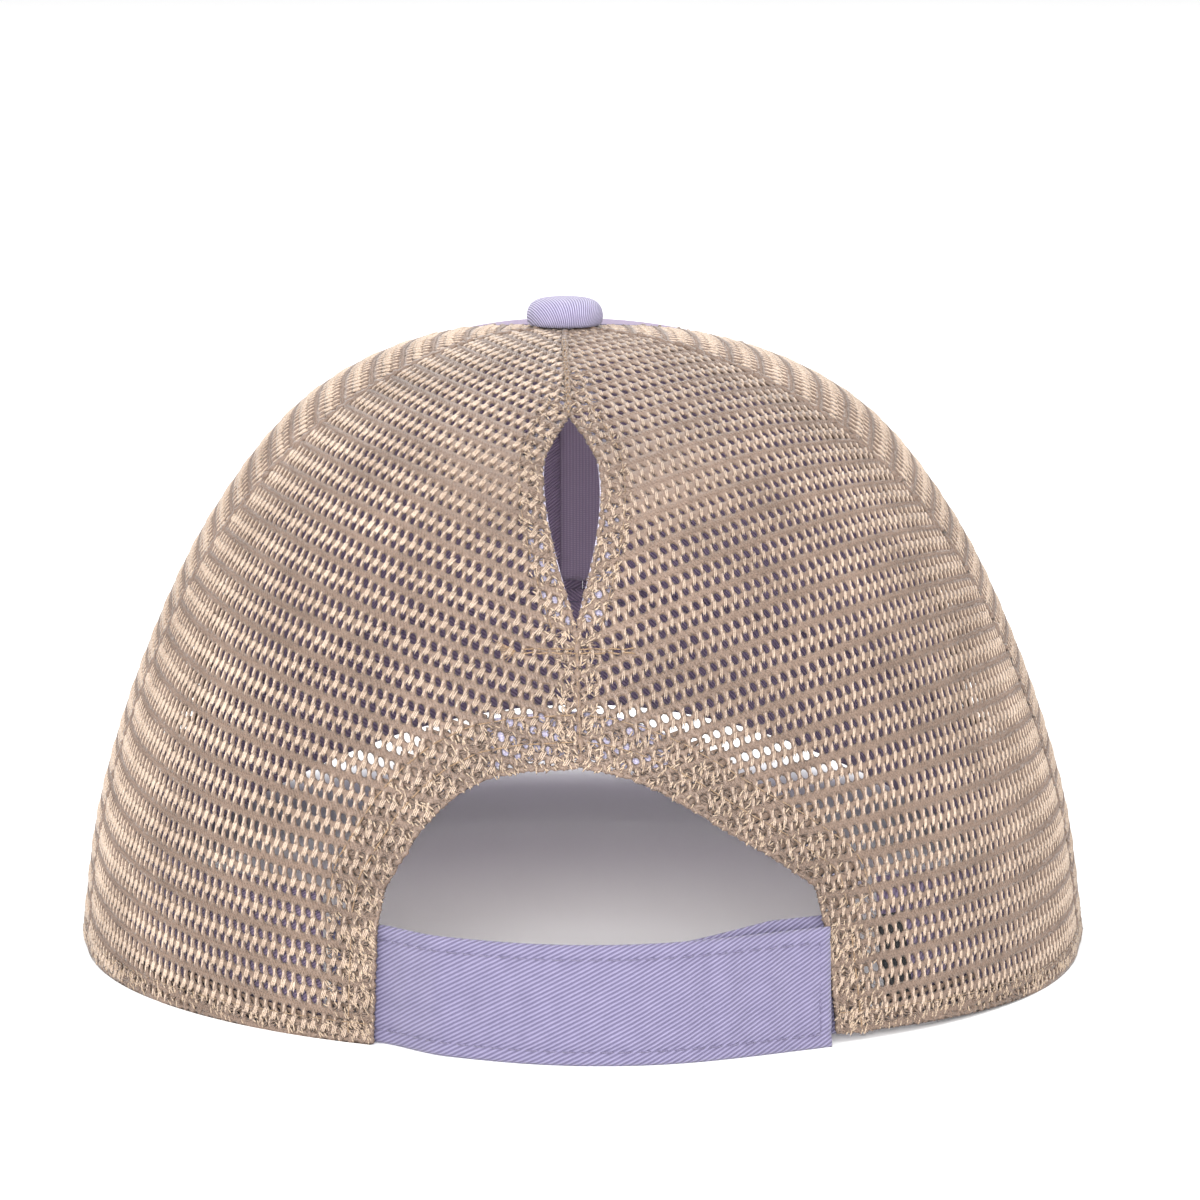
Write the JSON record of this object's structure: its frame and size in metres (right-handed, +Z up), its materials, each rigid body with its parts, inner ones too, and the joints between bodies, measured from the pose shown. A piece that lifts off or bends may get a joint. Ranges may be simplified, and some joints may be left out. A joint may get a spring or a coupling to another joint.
{
  "type": "ponytail baseball cap",
  "caption": "Six-gore cap with a net back, hemmed ponytail slit and back arch closed by a fabric strap, twill front, curved visor and covered button; it rests on its rim and visor.",
  "frame": {"origin": "middle of the footprint of the whole cap, on the surface it rests on", "axes": "+Z up through the button, -Y ahead along the visor, +Y towards the back arch and strap, +X to the wearer's left"},
  "size_m": [0.1722, 0.2712, 0.1096],
  "materials": {
    "net": "lustrous open knit net",
    "twill": "matte cotton twill",
    "band": "matte cotton twill",
    "tape": "matte woven tape",
    "fastener": "hook and loop pile"
  },
  "bodies": {
    "root": {"back_panel_left": "net", "back_panel_right": "net", "side_panel_left": "net", "side_panel_right": "net", "front_panel_left": "twill", "front_panel_right": "twill", "visor": "twill", "button": "twill", "strap_outer": "twill", "strap_inner": "twill", "sweatband": "band", "loop_tape": "fastener", "hook_tape": "fastener", "seam_tape_left": "tape", "seam_tape_right": "tape", "front_seam_tape": "tape", "top_seam_tape": "tape", "slit_tape_left": "tape", "slit_tape_right": "tape", "arch_tape": "tape"}
  },
  "joints": []
}
